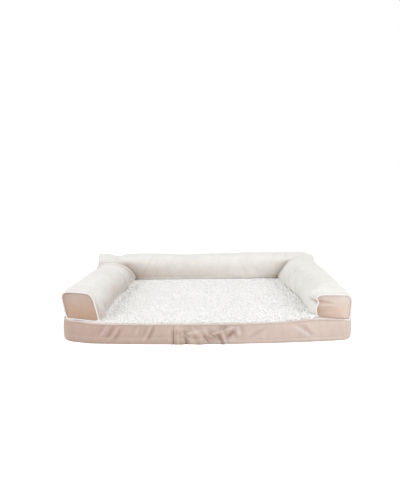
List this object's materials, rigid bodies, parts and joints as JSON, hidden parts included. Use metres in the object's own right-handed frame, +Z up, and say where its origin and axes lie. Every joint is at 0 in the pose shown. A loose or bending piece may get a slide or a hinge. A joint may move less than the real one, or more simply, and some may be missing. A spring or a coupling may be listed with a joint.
{
  "type": "bolstered pet bed",
  "caption": "Low rectangular pet bed: a foam pad in a zipped suede cover with a plush top, a stuffed back and two stuffed arms, open at the front.",
  "frame": {"origin": "middle of the bed's box, on the floor under the pad", "axes": "+X to the right along the width, seen from the open front; +Y from the open front to the back bolster; +Z up"},
  "size_m": [1.016, 0.84, 0.1775],
  "materials": {
    "bottom_sheet": "dull non-slip woven sheet",
    "foam": "open-cell foam",
    "plush": "white tufted plush",
    "taupe_suede": "brushed faux suede",
    "ivory_suede": "brushed faux suede",
    "piping": "corded piping in a folded strip",
    "fibre_fill": "loose fibre",
    "zip_tape": "woven tape",
    "zip_coil": "nylon coil",
    "zip_metal": "tumbled zinc alloy"
  },
  "bodies": {
    "bed": {"bottom_panel": "bottom_sheet", "foam_core": "foam", "sleep_panel": "plush", "left_band": "taupe_suede", "right_band": "taupe_suede", "back_band_upper": "taupe_suede", "back_band_lower": "taupe_suede", "top_piping": "piping", "left_arm_cover": "ivory_suede", "right_arm_cover": "ivory_suede", "back_bolster_cover": "ivory_suede", "left_arm_fill": "fibre_fill", "right_arm_fill": "fibre_fill", "back_bolster_fill": "fibre_fill", "left_arm_end_panel": "taupe_suede", "right_arm_end_panel": "taupe_suede", "back_left_end_panel": "taupe_suede", "back_right_end_panel": "taupe_suede", "left_arm_piping": "piping", "right_arm_piping": "piping", "back_left_piping": "piping", "back_right_piping": "piping", "zip_upper_tape": "zip_tape", "zip_lower_tape": "zip_tape", "zip_upper_coil": "zip_coil", "zip_lower_coil": "zip_coil", "zip_left_stop": "zip_metal", "zip_right_stop": "zip_metal"},
    "slider": {"zip_slider": "zip_metal"},
    "pull": {"zip_pull": "zip_metal"}
  },
  "joints": [
    {"name": "zip_run", "type": "slide", "parent": "bed", "child": "slider", "axis": [-1, 0, 0], "range_m": [0, 0.8245]},
    {"name": "pull_swing", "type": "hinge", "parent": "slider", "child": "pull", "pos_m": [0.41225, 0.41665, 0.031], "axis": [0, 0, -1], "range_deg": [0, 175]}
  ]
}
